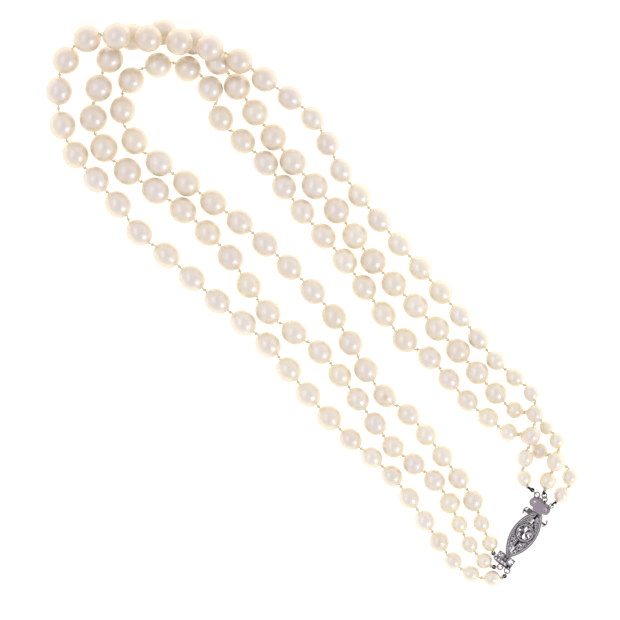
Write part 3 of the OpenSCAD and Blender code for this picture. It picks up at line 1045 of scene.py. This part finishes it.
clear = Finish("clear_brilliant", IOR=1.55, Transmission_Weight=1.0, Emission_Strength=0.45)
stone_cloud = clear.noise(900.0)
mirror, glint = clear.mark("mirror"), clear.mark("glint")
painted_facet_tone = glint * 0.94 + 0.06 * stone_cloud
# Painted reflections: the lower facets' colour is bright or dark by their painted glint.
clear.set("Base Color", painted_facet_tone.tint((0.035, 0.03, 0.03), (0.97, 0.97, 1.0)))
clear.set("Metallic", mirror)
# Painted glow: the brightest lower facets emit light.
clear.set("Emission Color", (mirror * glint**3).tint(BLACK, (0.95, 0.93, 0.96)))
clear.set("Roughness", stone_cloud * 0.05)
clear.bump(clear.noise(2500.0), 0.001 * MM)
for node in ("centre_stone", "front_stones", "fixed_bar_stones", "tongue_bar_stones"):
    shape = Shape()
    set_stones(shape, node, CENTRE_SHARE if node == "centre_stone" else SHARE)
    shape.piece("cut_" + node, clear, [node], smooth=False)

# %% [markdown]
# The clasp's own directions. The clasp lies at an angle on the table, and its front is
# a pointed oval between two arcs. Its finish and its grains follow that form, so they
# need a point's place along and across the clasp and in from its edge. The sizes here
# are in millimetres, and the arcs' radius follows from the front's length and width.

# %% Where a point is on the clasp
CLASP_AT = np.array((11.4, 97.9))
CLASP_TURN = math.radians(189)
CLASP_LENGTH = 17.6
CLASP_WIDTH = 7.7
FRONT_MIDDLE = -0.45
HALF_WIDTH = CLASP_WIDTH / 2
RIM_ARC = ((CLASP_LENGTH / 2) ** 2 + HALF_WIDTH**2) / (2 * HALF_WIDTH)
print("radius of the rim's arcs:", round(RIM_ARC, 2), "mm")


def clasp_fields(metal):
    """A point's place along and across the clasp, in from its edge, and height, in mm."""
    spot = metal.place() / MM
    east, north, height = (
        metal.node("ShaderNodeSeparateXYZ", inputs={"Vector": spot}, output=axis)
        for axis in "XYZ"
    )
    east, north = east - CLASP_AT[0], north - CLASP_AT[1]
    cos, sin = math.cos(CLASP_TURN), math.sin(CLASP_TURN)
    along = east * cos + north * sin
    across = (north * cos - east * sin).unsigned()
    from_arc = ((along - FRONT_MIDDLE) ** 2 + (across + (RIM_ARC - HALF_WIDTH)) ** 2) ** 0.5
    return along, across, RIM_ARC - from_arc, height


def between(value, low, high):
    """1 from low to high, with short slopes outside them."""
    slope = 0.1
    return value.ramp(low - slope, low) * (1 - value.ramp(high, high + slope))


# %% [markdown]
# White metal. The clasp, bars, spring and rings keep their CAD shapes, which are
# right, and get the finish of an old white gold clasp: painted shade, near black, in
# every corner, grey flats with a fine grain, and edges worn bright, which is wear and
# partly painted highlight. Two ambient occlusion nodes find the corners and the edges
# on the model itself: one looks outwards and is dark in a corner, and one looks into
# the metal and is dark near an edge. Inside the rim the field round the stones is a
# mottle of painted highlights and painted shade, bright and near black, and the
# settings at one end of the clasp are darker. The case seen through the slots is
# painted black as shade, but for the slots' outer ends, which get a painted glow, an
# emission that stands for the light of the table coming through. The plate of the
# tongue's bar and the thin wires are darker than the front, the wires as painted
# shade, so the finish is a function that takes its two colours.

# %% White metal finish
CORNER_REACH = 0.8 * MM
EDGE_REACH = 0.22 * MM
FIELD_HEIGHTS = (2.6, 2.86)
SETTINGS_ALONG = (-11.2, -8.4)
SETTINGS_HEIGHTS = (2.6, 3.2)
CASE_TOP = (2.5, 2.6)
SLOT_ENDS = ((-7.1, -5.3), (3.4, 4.8))
CASE_INSIDE = (0.2, 2.2)
SLOT_EDGE = (0.45, 0.55)


def old_metal(name, flat, wear_and_highlight_colour):
    """Painted shade in its corners, flat on its faces, and worn bright at its edges, partly as
    painted highlight.
    """
    metal = Finish(name, Metallic=1.0, Emission_Strength=0.9)
    cloud = metal.noise(500.0, detail=4.0, roughness=0.6)
    # A random mottle for the field: painted highlights where high, painted shade where low.
    painted_highlight_and_shade_mottle = metal.noise(2600.0).ramp(0.44, 0.58)
    # Painted shade: the corners that ambient occlusion finds turn near black.
    open_air = (metal.closeness(CORNER_REACH) + cloud * 0.3 - 0.15).ramp(0.45, 0.92)
    along, across, inset, height = clasp_fields(metal)
    field = inset.ramp(0.85, 1.1) * between(height, *FIELD_HEIGHTS)
    settings = between(along, *SETTINGS_ALONG) * between(height, *SETTINGS_HEIGHTS)
    # Painted shade: the inside of the case is painted black.
    case = inset.ramp(0.3, 0.5) * (1 - height.ramp(*CASE_TOP))
    slot_ends = between(along, *SLOT_ENDS[0]) + between(along, *SLOT_ENDS[1])
    # Painted glow: the slots' outer ends emit light, standing for the light of the table.
    painted_glow_in_slots = slot_ends * between(height, *CASE_INSIDE) * (1 - across.ramp(*SLOT_EDGE))
    # Painted shade in the field round the stones, and darker settings at one end of the clasp.
    dark = field * 0.95 * (1 - painted_highlight_and_shade_mottle) + settings * (0.60 - 0.35 * painted_highlight_and_shade_mottle)
    not_darkened = open_air * (1 - dark) * (1 - case)
    # Edges worn bright, partly painted highlight, and painted highlights in the field.
    edge = (1 - metal.closeness(EDGE_REACH, inside=True)).ramp(0.2, 0.55)
    wear_and_painted_highlight = (edge + 0.5 * field * painted_highlight_and_shade_mottle) * open_air * (1 - case) * (1 - dark)
    metal.set("Base Color", wear_and_painted_highlight.tint(not_darkened.tint((0.010, 0.008, 0.009), flat), wear_and_highlight_colour))
    metal.set("Emission Color", painted_glow_in_slots.tint(BLACK, (0.95, 0.94, 0.95)))
    metal.set("Roughness", 0.5 - 0.22 * not_darkened + 0.1 * cloud - 0.1 * wear_and_painted_highlight)
    metal.bump(cloud * 0.6 + metal.noise(5000.0) * 0.4, 0.015 * MM)
    return metal


clasp_metal = old_metal("old_white_metal", (0.54, 0.48, 0.55), (0.97, 0.95, 0.98))
back_metal = old_metal("old_white_metal_back", (0.45, 0.395, 0.45), (0.90, 0.87, 0.91))
# The back plate is darker, and the wires are a darker copy of the metal as painted shade.
wire_metal = old_metal("old_white_metal_wire", (0.24, 0.21, 0.22), (0.60, 0.56, 0.59))
print("white metal finish:", len(clasp_metal.tree.nodes), "nodes")

# %% Give the metal nodes their finish
kept_metal = [
    name
    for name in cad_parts
    if name in ("clasp_body", "tongue_bar", "release_spring") or "ring_" in name or "link_" in name
]
for name in kept_metal:
    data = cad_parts[name].data
    data.materials.clear()
    finish = {"clasp_body": clasp_metal, "tongue_bar": back_metal}.get(name, wire_metal)
    data.materials.append(finish.material)
print("metal nodes:", len(kept_metal))

# %% [markdown]
# Grains. The jeweller raises fine grains of metal with a hollow-tipped tool: a row of
# them, called millegrain, along the rim and round the bezel, and a few at each small
# stone to hold it. Each is a tiny dome standing on the metal, so they are laid out in
# the clasp's own directions, with the rim's two arcs worked out from its size.


# %% Raise a grain
def grain(shape, place, radius, height=1.0):
    """A small dome of metal, closed underneath, height times its radius high."""
    sides, rings = 10, 6
    turn = round_turns(sides)
    points = []
    for k in range(1, rings):
        lift = math.pi * k / rings
        flat = np.stack([np.cos(turn) * math.sin(lift), np.sin(turn) * math.sin(lift)], 1)
        points.append(np.column_stack([flat, np.full(sides, height * math.cos(lift))]))
    body = np.vstack([*points, [(0, 0, height)], [(0, 0, -height)]]) * radius
    top = (rings - 1) * sides
    bottom = top + 1
    faces = grid_faces(rings - 1, sides)
    for c in range(sides):
        d = (c + 1) % sides
        faces += [(top, d, c), (bottom, top - sides + c, top - sides + d)]
    shape.add(body + place, [face[::-1] for face in faces])


def four_grains(shape, solid, reach, start, top, radius, height):
    """Four grains round a stone, reach times its radius from its middle."""
    middle, stone_radius = round_size(solid)
    for k in range(4):
        turn = start + k * math.pi / 2
        place = middle + stone_radius * reach * np.array((math.cos(turn), math.sin(turn), 0))
        place[2] = top
        grain(shape, place, radius, height)


def on_clasp(x, y, z):
    """A place given in mm along, across and above the clasp."""
    cos, sin = math.cos(CLASP_TURN), math.sin(CLASP_TURN)
    return np.array((CLASP_AT[0] + x * cos - y * sin, CLASP_AT[1] + x * sin + y * cos, z)) * MM


def rim_places(inset, pitch):
    """Places along the pointed oval's two arcs, which lie inset from its edge."""
    arc = RIM_ARC - inset
    reach = math.acos((RIM_ARC - HALF_WIDTH) / arc)
    for side in (-1, 1):
        for turn in np.linspace(-reach, reach, round(2 * reach * arc / pitch)):
            y = side * (arc * math.cos(turn) - (RIM_ARC - HALF_WIDTH))
            yield FRONT_MIDDLE + arc * math.sin(turn), y


one_grain = Shape()
grain(one_grain, np.zeros(3), MM)
print("faces of a grain:", len(one_grain.faces))

# %% Set the grains out
RIM_TOP = 3.0
RIM_INSET = 0.525
RIM_PITCH = 0.38
RIM_GRAIN = 0.15 * MM
RIM_FROM, RIM_TO = -7.7, 7.1
BEZEL_TOP = 3.65
BEZEL_ROW = 2.6 - 0.13
BEZEL_GRAIN = 0.11 * MM
BEZEL_GRAINS = 44
FRONT_TOP = 2.8 * MM
FRONT_GRAIN = 0.19 * MM
BAR_GRAIN = 0.24 * MM
BAR_SUNK = 0.1 * MM

shape = Shape()
for x, y in rim_places(RIM_INSET, RIM_PITCH):
    if RIM_FROM < x < RIM_TO:
        grain(shape, on_clasp(x, y, RIM_TOP), RIM_GRAIN)
for turn in round_turns(BEZEL_GRAINS):
    x, y = BEZEL_ROW * math.cos(turn), BEZEL_ROW * math.sin(turn)
    grain(shape, on_clasp(x, y, BEZEL_TOP), BEZEL_GRAIN)
for solid in solids_of("front_stones"):
    start = draw.uniform(0, math.pi)
    four_grains(shape, solid, 1.02, start, top=FRONT_TOP, radius=FRONT_GRAIN, height=1.2)
corner = CLASP_TURN + math.pi / 4
for solid in solids_of("fixed_bar_stones"):
    top = solid[:, 2].max() - BAR_SUNK
    four_grains(shape, solid, 1.08, corner, top=top, radius=BAR_GRAIN, height=1.1)
shape.piece("grains", clasp_metal)

# %% [markdown]
# The end.
